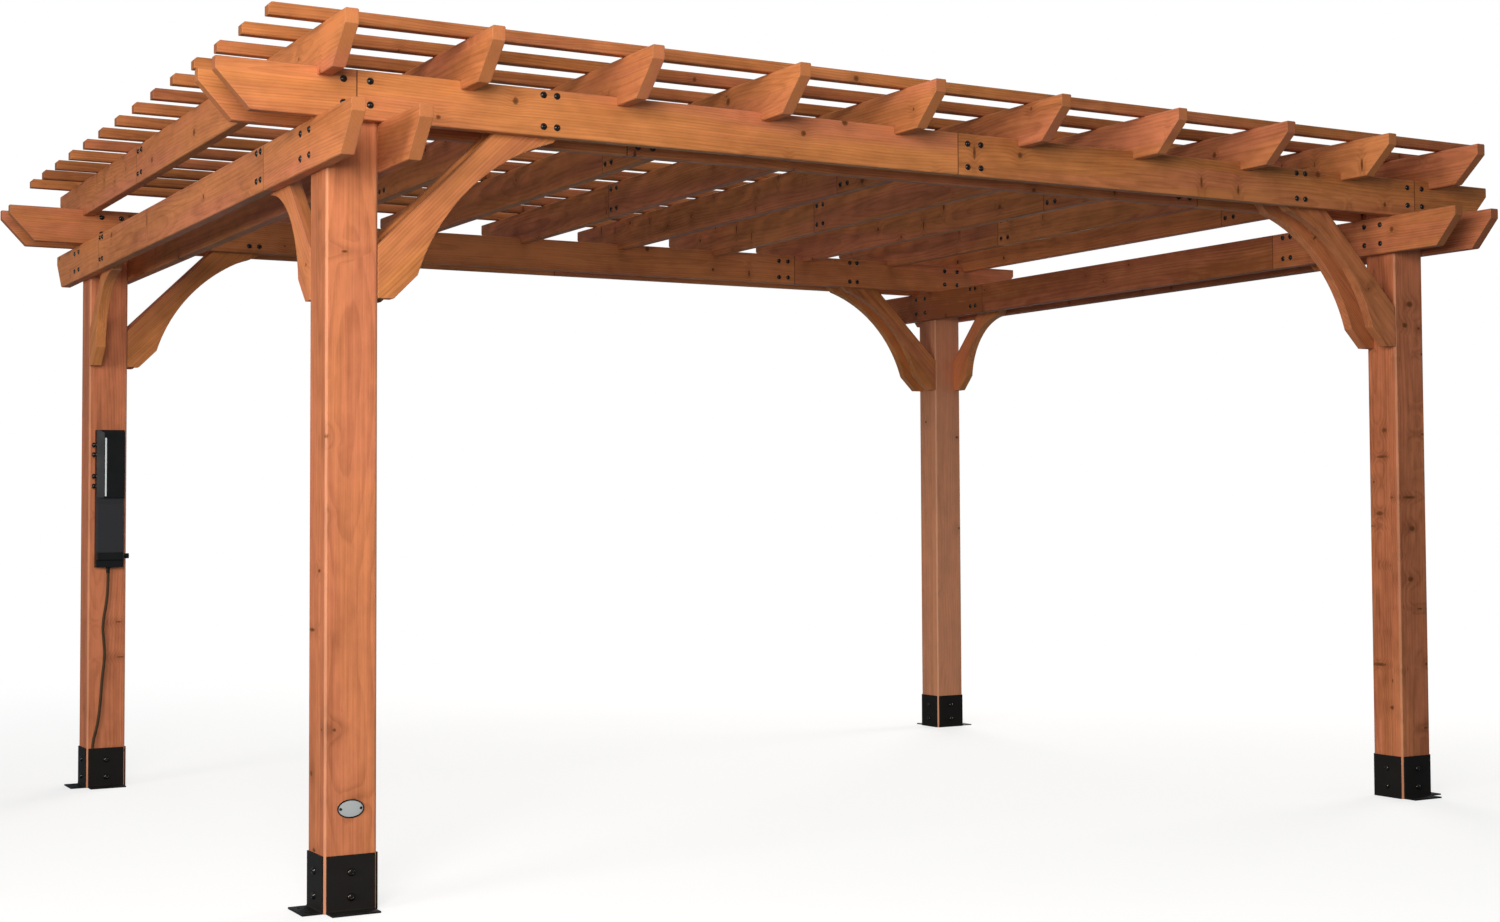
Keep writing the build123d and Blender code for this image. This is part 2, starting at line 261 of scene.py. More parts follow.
def buildCedarGrain(values):
    wires, takes, gives = newGroup(
        "cedarGrain",
        [("Grain", "Vector", None), ("Seed", "Float", 0.0), ("Rings", "Float", 150.0),
         ("Knots", "Float", 0.5), ("Knot Scale", "Float", 5.2), ("Knot Slant", "Float", 0.6), ("End", "Float", 0.0),
         ("Edge", "Float", 0.0), ("Tone", "Float", 0.0), ("Glue Line", "Float", 9.0), ("Seam", "Float", 0.0),
         ("Rose", "Float", 0.0),
         ("Light Stain", "Color", (0.6, 0.2, 0.08, 1)), ("Dark Stain", "Color", (0.3, 0.1, 0.04, 1)),
         ("Knot Stain", "Color", (0.1, 0.03, 0.012, 1)), ("Pale Wood", "Color", (0.66, 0.38, 0.22, 1))],
        [("Color", "Color"), ("Roughness", "Float"), ("Height", "Float")],
    )
    lot = wires.node("ShaderNodeTexWhiteNoise", {"W": takes["Seed"]}, noise_dimensions="1D")
    lotX, lotY, lotZ = wires.split(lot.outputs["Color"])
    along, across, through = wires.split(takes["Grain"])
    lotAlong, lotAcross = values["lotSpread"]
    alongFar = wires.maths("ADD", along, wires.maths("MULTIPLY", lotX, lotAlong))

    def swing(value, width):  # a value about a half, as a shift either way
        return wires.maths("MULTIPLY", wires.maths("SUBTRACT", value, 0.5), width)

    # knots: branches that run through the board
    spread = wires.maths("ADD", across, wires.maths("MULTIPLY", through, takes["Knot Slant"]))
    knotPlace = wires.combine(alongFar, wires.maths("ADD", spread, wires.maths("MULTIPLY", lotY, lotAcross)), 0.0)
    knotCells = wires.node(
        "ShaderNodeTexVoronoi", {"Vector": knotPlace, "Scale": takes["Knot Scale"], "Randomness": 1.0},
        voronoi_dimensions="2D", feature="F1")
    chance, size, shape = wires.split(knotCells.outputs["Color"])
    fromKnot = wires.split(wires.vector("SUBTRACT", knotPlace, knotCells.outputs["Position"]))
    spike = wires.ramp(shape, *values["spikeFrom"])
    shorter, longer = [wires.maths("MULTIPLY", spike, much) for much in values["spikeShape"]]
    knotAlong = wires.maths("MULTIPLY", fromKnot["X"], wires.maths("ADD", 1.0, shorter))
    knotAcross = wires.maths("MULTIPLY", fromKnot["Y"], wires.maths("SUBTRACT", 1.0, longer))
    reach = wires.vector("LENGTH", wires.combine(knotAlong, knotAcross, 0.0))
    picked = wires.maths("LESS_THAN", chance, takes["Knots"])
    leastSize, moreSize = values["knotSize"]
    knotSize = wires.maths("ADD", leastSize, wires.maths("MULTIPLY", size, moreSize))
    raggedScale, raggedDepth = values["knotRagged"]
    ragged = swing(wires.noise(takes["Grain"], raggedScale), raggedDepth)
    knotReach = wires.maths("DIVIDE", wires.maths("ADD", reach, ragged), knotSize)
    knotBody = wires.maths("MULTIPLY", picked, wires.ramp(knotReach, 1.25, 0.75))
    fromRim = wires.maths("ABSOLUTE", wires.maths("SUBTRACT", knotReach, 0.85))
    knotRim = wires.maths("MULTIPLY", knotBody, wires.ramp(fromRim, 0.42, 0.0))
    knotHeart = wires.maths("MULTIPLY", knotBody, wires.ramp(knotReach, 0.95, 0.25))
    knotPull = wires.maths("MULTIPLY", picked, wires.ramp(reach, values["pullReach"], 0.0))

    # growth rings about a wandering pith
    slow = wires.combine(wires.maths("MULTIPLY", alongFar, 0.9), lotY, lotZ)
    drift = wires.node("ShaderNodeTexNoise", {"Vector": slow, "Scale": 1.0, "Detail": 1.0})
    drift = wires.split(drift.outputs["Color"])
    (spreadAcross, spreadThrough), (wanderAcross, wanderThrough) = values["pith"], values["wander"]
    pithAcross = wires.maths("ADD", swing(lotY, spreadAcross), swing(drift["X"], wanderAcross))
    pithThrough = wires.maths("ADD", wires.maths("MULTIPLY", lotZ, spreadThrough), swing(drift["Y"], wanderThrough))
    fromPith = wires.combine(
        wires.maths("SUBTRACT", across, pithAcross), wires.maths("SUBTRACT", through, pithThrough), 0.0)
    pulled = wires.maths("MULTIPLY", knotPull, values["pullDepth"])
    radius = wires.maths("ADD", wires.vector("LENGTH", fromPith), pulled)
    waverAlong, waverAcross = values["waverScale"]
    waver = wires.combine(
        wires.maths("MULTIPLY", alongFar, waverAlong), wires.maths("MULTIPLY", across, waverAcross),
        wires.maths("MULTIPLY", through, waverAcross))
    wavered = wires.maths("MULTIPLY", wires.noise(waver, 1.0, 2.0), values["waverDepth"])
    radius = wires.maths("ADD", radius, wavered)
    ring = wires.maths("FRACT", wires.maths("MULTIPLY", radius, takes["Rings"]))
    late = wires.maths("MULTIPLY", wires.ramp(ring, 0.35, 0.88), wires.ramp(ring, 1.0, 0.92))

    # fibres, streaks and patches of stain, all drawn out along the board
    def drawnOut(alongScale, acrossScale, detail):
        place = wires.combine(
            wires.maths("MULTIPLY", alongFar, alongScale), wires.maths("MULTIPLY", across, acrossScale),
            wires.maths("MULTIPLY", wires.maths("ADD", through, lotZ), acrossScale))
        return wires.noise(place, 1.0, detail, 0.55)

    figure = wires.maths("MULTIPLY", wires.maths("SUBTRACT", late, 0.25), values["lateShare"])
    layers = {}
    for label in ("fibre", "line", "streak", "patch", "mottle"):
        alongScale, acrossScale, detail, share = values[label]
        layers[label] = drawnOut(alongScale, acrossScale, detail)
        figure = wires.maths("ADD", figure, swing(layers[label], share))
    calm = wires.maths("SUBTRACT", 1.0, wires.maths("MULTIPLY", takes["End"], values["endCalm"]))
    figure = wires.maths("MULTIPLY", figure, calm)
    tone = wires.maths("ADD", figure, wires.maths("ADD", takes["Tone"], values["middleTone"]))
    tone = wires.maths("ADD", tone, swing(lotX, values["boardTone"]))
    fromGlue = wires.maths("SUBTRACT", across, takes["Glue Line"])
    glueStrip = wires.maths("GREATER_THAN", fromGlue, 0.0)
    glueLine = wires.ramp(wires.maths("ABSOLUTE", fromGlue), *values["glueLine"])
    for mask, label in (
            (takes["End"], "endTone"), (glueStrip, "stripTone"), (glueLine, "glueTone"), (knotPull, "pullTone")):
        tone = wires.maths("ADD", tone, wires.maths("MULTIPLY", mask, values[label]))
    # painted highlight: edge marks lighten the tone
    tone = wires.maths("SUBTRACT", tone, takes["Edge"], clamp=True)
    stain = wires.mix(tone, takes["Light Stain"], takes["Dark Stain"])
    rosy = wires.ramp(drawnOut(*values["rosyPatch"]), 0.42, 0.72)
    rosy = wires.maths("ADD", rosy, takes["Rose"], clamp=True)
    stain = wires.mix(rosy, stain, values["rosyTint"], "MULTIPLY")
    bodyShare, rimShare, heartShare = values["knotShares"]
    # edge marks mix towards the pale colour, a painted highlight; knots and seams darken
    for mask, share, label in (
            (takes["Edge"], values["edgeShare"], "Pale Wood"), (knotBody, bodyShare, "Dark Stain"),
            (knotRim, rimShare, "Knot Stain"), (knotHeart, heartShare, "Knot Stain"),
            (takes["Seam"], values["seamShare"], "Knot Stain")):
        stain = wires.mix(wires.maths("MULTIPLY", mask, share), stain, takes[label])
    wires.join(gives["Color"], stain)
    leastRough, fibreRough = values["roughness"]
    wires.join(gives["Roughness"], wires.maths("ADD", leastRough, wires.maths("MULTIPLY", layers["fibre"], fibreRough)))
    fibreHigh, lateHigh, rimDeep = values["height"]
    height = wires.maths("MULTIPLY", layers["fibre"], fibreHigh)
    height = wires.maths("ADD", height, wires.maths("MULTIPLY", late, lateHigh))
    wires.join(gives["Height"], wires.maths("SUBTRACT", height, wires.maths("MULTIPLY", knotRim, rimDeep)))


coatedSkin = {
    "cloudScale": 14.0,
    "edgeSpotScale": 60.0,
    "edgeSpotFrom": (0.40, 0.62),
    "edgeMarkShare": 0.75,
    "cloudRough": 0.20,
    "fineRough": 0.08,
}


def buildCoatedSkin(values):
    # powder coat, moulded plastic and rubber: fine grain, faint cloudiness, paler edges (scuffs, and a painted glint on
    # the bolts)
    wires, takes, gives = newGroup(
        "coatedSkin",
        [("Place", "Vector", None), ("Grain Scale", "Float", 900.0), ("Edge", "Float", 0.0),
         ("Skin", "Color", (0.02, 0.02, 0.02, 1)), ("Worn", "Color", (0.08, 0.08, 0.08, 1)), ("Gloss", "Float", 0.45),
         ("Clouds", "Float", 0.22)],
        [("Color", "Color"), ("Roughness", "Float"), ("Height", "Float")],
    )
    fineNoise = {"Vector": takes["Place"], "Scale": takes["Grain Scale"], "Detail": 2.0}
    fine = wires.node("ShaderNodeTexNoise", fineNoise).outputs[0]
    cloud = wires.noise(takes["Place"], values["cloudScale"], 3.0)
    edgeSpots = wires.ramp(wires.noise(takes["Place"], values["edgeSpotScale"], 3.0), *values["edgeSpotFrom"])
    # edge mark: scuffs on the coats, and on the bolts a painted glint
    scuffAndGlint = wires.maths("MULTIPLY", wires.maths("MULTIPLY", takes["Edge"], edgeSpots), values["edgeMarkShare"])
    share = wires.maths("ADD", wires.maths("MULTIPLY", takes["Clouds"], cloud), scuffAndGlint, clamp=True)
    wires.join(gives["Color"], wires.mix(share, takes["Skin"], takes["Worn"]))
    cloudy = wires.maths("MULTIPLY", wires.maths("SUBTRACT", cloud, 0.5), values["cloudRough"])
    rough = wires.maths("ADD", takes["Gloss"], cloudy)
    wires.join(gives["Roughness"], wires.maths("ADD", rough, wires.maths("MULTIPLY", fine, values["fineRough"])))
    wires.join(gives["Height"], fine)


buildSoftEdges()
buildBoardLengths(boardLengths)
buildCedarGrain(cedarGrain)
buildCoatedSkin(coatedSkin)
print("shared effects built")


def newMaterial(name):
    material = bpy.data.materials.new(name)
    material.use_nodes = True
    material.node_tree.nodes.clear()
    wires = Wires(material.node_tree)
    shader = wires.node("ShaderNodeBsdfPrincipled")
    wires.node("ShaderNodeOutputMaterial", {"Surface": shader.outputs[0]})
    return material, wires, shader


def dress(obj, material):
    obj.data.materials.clear()
    obj.data.materials.append(material)


# stained cedar

cedar = {
    "light": (0.620, 0.213, 0.061, 1),
    "dark": (0.270, 0.084, 0.021, 1),
    "knot": (0.080, 0.022, 0.008, 1),
    "fadedAndHighlight": (0.660, 0.380, 0.220, 1),  # paler faded wood, and the colour of the painted highlight on edges and post corners
    "rings": 120.0,  # per metre of radius
    "softEdge": 0.0035,
    "grainHeight": 0.0006,
    "grainStrength": 0.5,
    # painted highlight: edges and post corners are drawn paler, standing in for light catching them
    "edgeHighlight": 0.05,
    "cornerHighlight": 0.045,
    "coat": 0.03,
    "coatRoughness": 0.35,
    "specular": 0.14,
}

plainTimber = {
    "tone": 0.0,  # darker above nought
    "rose": 0.0,
    "knots": 0.5,  # share of the places for a knot that have one
    "knotScale": 5.2,
    "knotSlant": 0.6,  # of a branch through the board
    "steps": (),  # change of tone past each joint
    "glue": 9.0,  # glue line across the board from its middle, here off the board
    "faded": 0.0,
    "lot": 0.0,  # added to the seed
}

timbers = {  # by the start of a node's name, later rows on top of earlier ones
    "post_": {"rose": 0.75, "knots": 0.45, "knotSlant": 0.0, "lot": 5.0},
    "post_front_right": {"knots": 0.70, "knotScale": 9.5, "lot": 0.0},
    "post_back_left": {"rose": 1.0},
    "post_back_right": {"faded": 0.05},
    "short_beam_left": {"tone": -0.16, "rose": 0.3},
    "short_beam_right": {"tone": 0.12, "rose": 0.4, "steps": (0.25, 0.0)},
    "long_beam": {"tone": -0.12},
    "long_beam_back": {"rose": 0.30},
    "long_beam_front_outer": {"tone": 0.12, "steps": (-0.42, 0.40, 0.0)},
    "rafter": {"tone": -0.10, "rose": 0.25},
    # slats: the darker tone is painted shade
    "slat": {"tone": 0.22, "knots": 0.2},
    "long_brace": {"tone": -0.14, "knots": 0.12, "glue": 0.095},
    "long_brace_front_left": {"rose": -0.3},
    # the darker tone of this brace is painted shade
    "long_brace_front_right": {"tone": 0.08, "rose": 0.5},
    "short_brace": {"tone": -0.14, "knots": 0.12, "glue": 0.095},
}


def timberValues(name):
    values = dict(plainTimber)
    for start, changes in timbers.items():
        if name.startswith(start):
            values.update(changes)
    return values


def cedarMaterial(name, along, across, centre, seed, joints=(), eased=False):
    values = timberValues(name)
    material, wires, shader = newMaterial(name)
    along, across = Vector(along).normalized(), Vector(across).normalized()
    through = along.cross(across)
    place = wires.node("ShaderNodeTexCoord").outputs["Object"]
    local = wires.vector("SUBTRACT", place, tuple(centre))
    grain = wires.combine(*[wires.vector("DOT_PRODUCT", local, tuple(axis)) for axis in (along, across, through)])
    cuts = {f"Joint_{letter}": joint for letter, joint in zip("ABC", joints)}
    cuts.update({f"Step_{letter}": step for letter, step in zip("ABC", values["steps"])})
    lengths = useGroup(wires, "boardLengths", Grain=grain, Seed=seed + values["lot"], Tone=values["tone"], **cuts)
    facing = wires.node("ShaderNodeNewGeometry").outputs["Normal"]
    ending = wires.maths("ABSOLUTE", wires.vector("DOT_PRODUCT", facing, tuple(along)))
    edges = useGroup(wires, "softEdges", Radius=cedar["softEdge"])
    wearAndHighlight = wires.maths("MULTIPLY", edges["Mask"], cedar["edgeHighlight"])
    if eased:  # painted highlight: the planed corners of a post are drawn paler, standing in for light catching them
        slants = [wires.vector("DOT_PRODUCT", facing, tuple(axis)) for axis in (across, through)]
        chamferHighlight = wires.maths("MAXIMUM", *[wires.maths("ABSOLUTE", slant) for slant in slants])
        chamferHighlight = wires.ramp(chamferHighlight, 0.82, 0.95)
        wearAndHighlight = wires.maths("MAXIMUM", wearAndHighlight, wires.maths("MULTIPLY", chamferHighlight, cedar["cornerHighlight"]))
    wearAndHighlight = wires.maths("ADD", wearAndHighlight, values["faded"])
    wood = useGroup(
        wires, "cedarGrain", Grain=grain, Seed=lengths["Seed"], Rings=cedar["rings"], Knots=values["knots"],
        Knot_Scale=values["knotScale"], Knot_Slant=values["knotSlant"], End=wires.ramp(ending, 0.45, 0.62), Edge=wearAndHighlight,
        Tone=lengths["Tone"], Glue_Line=values["glue"], Seam=lengths["Seam"], Rose=values["rose"],
        Light_Stain=cedar["light"], Dark_Stain=cedar["dark"], Knot_Stain=cedar["knot"], Pale_Wood=cedar["fadedAndHighlight"])
    bump = wires.node("ShaderNodeBump", {
        "Height": wood["Height"], "Normal": edges["Normal"], "Strength": cedar["grainStrength"],
        "Distance": cedar["grainHeight"]})
    wires.join(shader.inputs["Base Color"], wood["Color"])
    wires.join(shader.inputs["Roughness"], wood["Roughness"])
    wires.join(shader.inputs["Normal"], bump.outputs[0])
    shader.inputs["Coat Weight"].default_value = cedar["coat"]
    shader.inputs["Coat Roughness"].default_value = cedar["coatRoughness"]
    shader.inputs["Specular IOR Level"].default_value = cedar["specular"]
    return material


def middle(node):
    low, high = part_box(node)
    return (low + high) / 2


postX, postY = middle("post_back_right").x, middle("post_back_right").y
postHalf = (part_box("post_front_left")[1].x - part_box("post_front_left")[0].x) / 2

jointPlaces = {
    "shortOuter": 0.418,  # from the post's middle
    "shortInner": 0.549,
    "longInner": 0.911,
    "longMiddle": -0.036,
    "rafter": 0.507,
}


def rafterJoint(name):
    return jointPlaces["rafter"] * (1 if int(name[-2:]) % 2 else -1)  # by turns to the back and to the front


def dressTimber():
    seed = 1.0
    for name in sorted(nodes):
        centre = middle(name)
        seed += 7.0
        if name.startswith("post_"):
            made = cedarMaterial(name, (0, 0, 1), (1, 1, 0), centre, seed, eased=True)
        elif name.startswith("short_beam"):
            cut = postY - jointPlaces["shortOuter" if "outer" in name else "shortInner"]
            made = cedarMaterial(name, (0, 1, 0), (0, 0, 1), centre, seed, (-cut, cut))
        elif name.startswith("long_beam"):
            cut = postX - jointPlaces["longInner"]
            cuts = (-postX, jointPlaces["longMiddle"], postX) if "outer" in name else (-cut, cut)
            made = cedarMaterial(name, (1, 0, 0), (0, 0, 1), centre, seed, cuts)
        elif name.startswith("rafter"):
            made = cedarMaterial(name, (0, 1, 0), (0, 0, 1), centre, seed, (rafterJoint(name),))
        elif name.startswith("slat"):
            made = cedarMaterial(name, (1, 0, 0), (0, 1, 1), centre, seed)
        elif name.startswith("long_brace"):
            lean = 1 if centre.x < 0 else -1
            made = cedarMaterial(name, (lean, 0, 1), (-lean, 0, 1), centre, seed)
        elif name.startswith("short_brace"):
            lean = 1 if centre.y < 0 else -1
            made = cedarMaterial(name, (0, lean, 1), (0, -lean, 1), centre, seed)
        else:
            continue
        dress(nodes[name], made)


dressTimber()
print("timber stained")


# black steel, plastic and rubber

plainCoat = {
    "metallic": 0.0,
    "clouds": 0.22,
    "tint": (1, 1, 1, 1),  # of the gloss
    "strength": 0.4,  # of the fine grain
}

coats = {
    "steel": {"skin": (0.0122, 0.0100, 0.0086, 1), "wearAndHighlight": (0.036, 0.030, 0.026, 1), "gloss": 0.46, "grain": 700.0,
              "depth": 0.0003, "edge": 0.002, "specular": 0.04},
    "plastic": {"skin": (0.0066, 0.0065, 0.0062, 1), "wearAndHighlight": (0.026, 0.026, 0.026, 1), "gloss": 0.34, "grain": 1500.0,
                "depth": 0.0002, "edge": 0.002, "specular": 0.10},
    "cover": {"skin": (0.0290, 0.0278, 0.0285, 1), "wearAndHighlight": (0.040, 0.038, 0.039, 1), "gloss": 0.46, "grain": 1500.0,
              "depth": 0.0002, "edge": 0.002, "specular": 0.09},
    "rubber": {"skin": (0.044, 0.024, 0.010, 1), "wearAndHighlight": (0.160, 0.105, 0.065, 1), "gloss": 0.36, "grain": 900.0,
               "depth": 0.0002, "edge": 0.001, "specular": 0.10, "tint": (1.0, 0.76, 0.52, 1)},
    # bolts: the pale colour on their edges is a painted glint
    "bolt": {"skin": (0.0030, 0.0018, 0.0010, 1), "wearAndHighlight": (0.240, 0.190, 0.150, 1), "gloss": 0.08, "grain": 900.0,
             "depth": 0.00005, "edge": 0.0011, "specular": 0.50, "clouds": 0.02, "tint": (1.0, 0.88, 0.76, 1)},
    "plate": {"skin": (0.44, 0.43, 0.40, 1), "wearAndHighlight": (0.62, 0.61, 0.57, 1), "gloss": 0.36, "grain": 420.0,
              "depth": 0.0001, "edge": 0.0008, "metallic": 0.3, "specular": 0.50},
    "trim": {"skin": (0.70, 0.69, 0.66, 1), "wearAndHighlight": (0.82, 0.81, 0.79, 1), "gloss": 0.30, "grain": 1200.0,
             "depth": 0.0001, "edge": 0.0008, "specular": 0.50},
}


def coatMaterial(name):
    values = {**plainCoat, **coats[name]}
    material, wires, shader = newMaterial(name + "Coat")
    place = wires.node("ShaderNodeTexCoord").outputs["Object"]
    edges = useGroup(wires, "softEdges", Radius=values["edge"])
    skin = useGroup(
        wires, "coatedSkin", Place=place, Grain_Scale=values["grain"], Edge=edges["Mask"], Skin=values["skin"],
        Worn=values["wearAndHighlight"], Gloss=values["gloss"], Clouds=values["clouds"])
    bump = wires.node("ShaderNodeBump", {
        "Height": skin["Height"], "Normal": edges["Normal"], "Strength": values["strength"],
        "Distance": values["depth"]})
    wires.join(shader.inputs["Base Color"], skin["Color"])
    wires.join(shader.inputs["Roughness"], skin["Roughness"])
    wires.join(shader.inputs["Normal"], bump.outputs[0])
    shader.inputs["Metallic"].default_value = values["metallic"]
    shader.inputs["Specular IOR Level"].default_value = values["specular"]
    shader.inputs["Specular Tint"].default_value = values["tint"]
    return material


coatOf = {name: coatMaterial(name) for name in coats}
for name in sorted(nodes):
    if name.startswith("foot_brackets"):
        dress(nodes[name], coatOf["steel"])
    elif name == "outlet_cover":
        dress(nodes[name], coatOf["cover"])
    elif name.startswith("outlet") or name == "cord_gland":
        dress(nodes[name], coatOf["plastic"])
print("brackets and outlet box coated")


# lead of the outlet box, on the same route as its solid

lead = {
    "route": [(2, 861), (2, 800), (-4, 735), (-18, 655), (-13, 590), (-7, 530), (-19, 430), (-23, 355), (-33, 255),
              (-53, 185), (-53, 157)],  # from the post's middle and the ground, mm
    "fromFace": 0.0077,
    "diameter": 0.011,
    "length": 0.709,
}


def layLead(values):
    face = postY - postHalf - values["fromFace"]
    points = [Vector((across / 1000 - postX, face, height / 1000)) for across, height in values["route"]]
    curve = bpy.data.curves.new("powerLead", "CURVE")
    curve.dimensions = "3D"
    curve.bevel_depth = values["diameter"] / 2
    curve.bevel_resolution = 5
    curve.use_fill_caps = True
    spline = curve.splines.new("NURBS")
    spline.points.add(len(points) - 1)
    for knot, point in zip(spline.points, points):
        knot.co = (*point, 1.0)
    spline.order_u = 3
    spline.use_endpoint_u = True
    spline.resolution_u = 12
    piece = bpy.data.objects.new("powerLead", curve)
    scene.collection.objects.link(piece)
    dress(piece, coatOf["rubber"])
    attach(piece, "root")
    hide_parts("power_cord")


layLead(lead)
print("lead laid")


# bolts: domed heads on washers, with a socket in the middle

boltHead = {
    "profile": [(0.0, 0.0015), (0.0026, 0.0015), (0.0030, 0.0052), (0.0050, 0.0049), (0.0068, 0.0040),
                (0.0078, 0.0024), (0.0081, 0.0016), (0.0098, 0.0015), (0.0102, 0.0010), (0.0102, -0.0010)],
    "footProfile": [(0.0, 0.0030), (0.0034, 0.0030), (0.0038, 0.0074), (0.0062, 0.0070), (0.0084, 0.0057),
                    (0.0101, 0.0036), (0.0109, 0.0012), (0.0110, -0.0010)],  # radius, height
    "segments": 18,
    "sharpFrom": 38,  # degrees between faces
}


def addHead(mesh, place, out, scale=1.0, profile=boltHead["profile"]):
    turn = Vector(out).to_track_quat("Z", "Y").to_matrix()
    count = boltHead["segments"]
    turns = [2 * math.pi * step / count for step in range(count)]
    rows = []
    for radius, height in profile:
        if radius == 0:
            spots = [Vector((0, 0, height))]
        else:
            spots = [Vector((radius * math.cos(a), radius * math.sin(a), height)) for a in turns]
        rows.append([mesh.verts.new(place + turn @ (spot * scale)) for spot in spots])
    for inner, outer in zip(rows, rows[1:]):
        for step in range(count):
            after = (step + 1) % count
            if len(inner) == 1:
                mesh.faces.new((inner[0], outer[step], outer[after]))
            else:
                mesh.faces.new((inner[step], outer[step], outer[after], inner[after]))
    mesh.faces.new(list(reversed(rows[-1])))


def finishPiece(mesh, name, material):
    data = bpy.data.meshes.new(name)
    bmesh.ops.recalc_face_normals(mesh, faces=mesh.faces)
    mesh.to_mesh(data)
    mesh.free()
    piece = bpy.data.objects.new(name, data)
    scene.collection.objects.link(piece)
    for face in data.polygons:
        face.use_smooth = True
    data.set_sharp_from_angle(angle=math.radians(boltHead["sharpFrom"]))
    dress(piece, material)
    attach(piece, "root")


boltPlaces = {
    "longPost": [(-0.038, 0.042), (0.038, 0.042), (-0.038, 0.109), (0.038, 0.109)],  # along, above the underside
    "longBrace": [(0.557, 0.028), (0.599, 0.028), (0.557, 0.121), (0.599, 0.121)],
    "longMiddle": [(0.038, 0.028), (0.090, 0.028), (0.038, 0.105), (0.090, 0.105)],
    "longInner": [(0.037, 0.030), (0.087, 0.030), (0.037, 0.108), (0.087, 0.108)],
    "shortPost": [(-0.041, 0.039), (0.041, 0.039), (-0.041, 0.110), (0.041, 0.110)],
    "shortBrace": [(0.447, 0.037), (0.490, 0.037), (0.447, 0.121), (0.490, 0.121)],
    "rafter": [(-0.025, 0.032), (-0.077, 0.032), (-0.025, 0.114), (-0.077, 0.114)],
    "foot": [0.042, 0.110],  # above the ground
    "footPlate": 0.005,  # thickness of a foot bracket
}


def boltLongBeams():
    mesh = bmesh.new()
    for side, ySign in (("front", -1), ("back", 1)):
        for layer in ("outer", "inner"):
            low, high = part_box(f"long_beam_{side}_{layer}")
            out = ySign if layer == "outer" else -ySign
            face = high.y if out > 0 else low.y
            places, joints = [], []
            for xSign in (-1, 1):
                places += [(xSign * postX + along, up) for along, up in boltPlaces["longPost"]]
                places += [(xSign * (postX - along), up) for along, up in boltPlaces["longBrace"]]
                if layer == "inner":
                    joint = postX - jointPlaces["longInner"]
                    joints += [(xSign * (joint - along), up) for along, up in boltPlaces["longInner"]]
            if layer == "outer":
                places += [(jointPlaces["longMiddle"] + along, up) for along, up in boltPlaces["longMiddle"]]
            for x, up in places + joints:
                addHead(mesh, Vector((x, face, low.z + up)), (0, out, 0))
            if layer == "inner":
                for x, up in joints:  # and on the other face
                    addHead(mesh, Vector((x, low.y + high.y - face, low.z + up)), (0, -out, 0))
    finishPiece(mesh, "bolts_long_beams", coatOf["bolt"])


def boltShortBeams():
    mesh = bmesh.new()
    for end, xSign in (("left", -1), ("right", 1)):
        for layer in ("outer", "inner"):
            low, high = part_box(f"short_beam_{end}_{layer}")
            out = xSign if layer == "outer" else -xSign
            face = high.x if out > 0 else low.x
            for ySign in (-1, 1):
                places = [(ySign * postY + along, up) for along, up in boltPlaces["shortPost"]]
                places += [(ySign * (postY - along), up) for along, up in boltPlaces["shortBrace"]]
                for y, up in places:
                    addHead(mesh, Vector((face, y, low.z + up)), (out, 0, 0))
    finishPiece(mesh, "bolts_short_beams", coatOf["bolt"])


def boltRafters():
    mesh = bmesh.new()
    for name in sorted(nodes):
        if name.startswith("rafter"):
            low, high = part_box(name)
            for along, up in boltPlaces["rafter"]:
                y, z = rafterJoint(name) + along, low.z + up
                addHead(mesh, Vector((low.x, y, z)), (-1, 0, 0))
                addHead(mesh, Vector((high.x, y, z)), (1, 0, 0))
    finishPiece(mesh, "bolts_rafters", coatOf["bolt"])


def boltFeet():
    mesh = bmesh.new()
    away = postHalf + boltPlaces["footPlate"]
    for ySign in (-1, 1):
        for xSign in (-1, 1):
            post = Vector((xSign * postX, ySign * postY, 0))
            for out in ((1, 0, 0), (-1, 0, 0), (0, 1, 0), (0, -1, 0)):
                for up in boltPlaces["foot"]:
                    place = post + Vector(out) * away + Vector((0, 0, up))
                    addHead(mesh, place, out, profile=boltHead["footProfile"])
    finishPiece(mesh, "bolts_feet", coatOf["bolt"])


boltLongBeams()
boltShortBeams()
boltRafters()
boltFeet()
print("bolts driven")


# bare oval plate on the front left post

ovalPlate = {
    "height": 0.283,  # of its middle, above the ground
    "halfWide": 0.038,
    "halfTall": 0.0258,
    "rim": [(0.0, -0.0008), (0.0, 0.0018), (0.0004, 0.0024), (0.0022, 0.0026), (0.0034, 0.0022), (0.0036, 0.0010)],
    "field": [(0.0035, 0.0010), (0.0060, 0.0013), (0.0120, 0.0016), (0.0190, 0.0018)],  # inset, height
    "segments": 56,
    "rivetsAt": 0.0288,
    "rivetLift": 0.0012,
    "rivetScale": 0.42,
}


def addRings(mesh, outlineAt, rows, place, right, up, capped):
    out = Vector(right).cross(Vector(up))
    before = None
    for inset, height in rows:
        spots = [Vector(right) * x + Vector(up) * y + out * height for x, y in outlineAt(inset)]
        ring = [mesh.verts.new(place + spot) for spot in spots]
        if before:
            for step in range(len(ring)):
                after = (step + 1) % len(ring)
                mesh.faces.new((before[step], before[after], ring[after], ring[step]))
        before = ring
    if capped:
        mesh.faces.new(before)


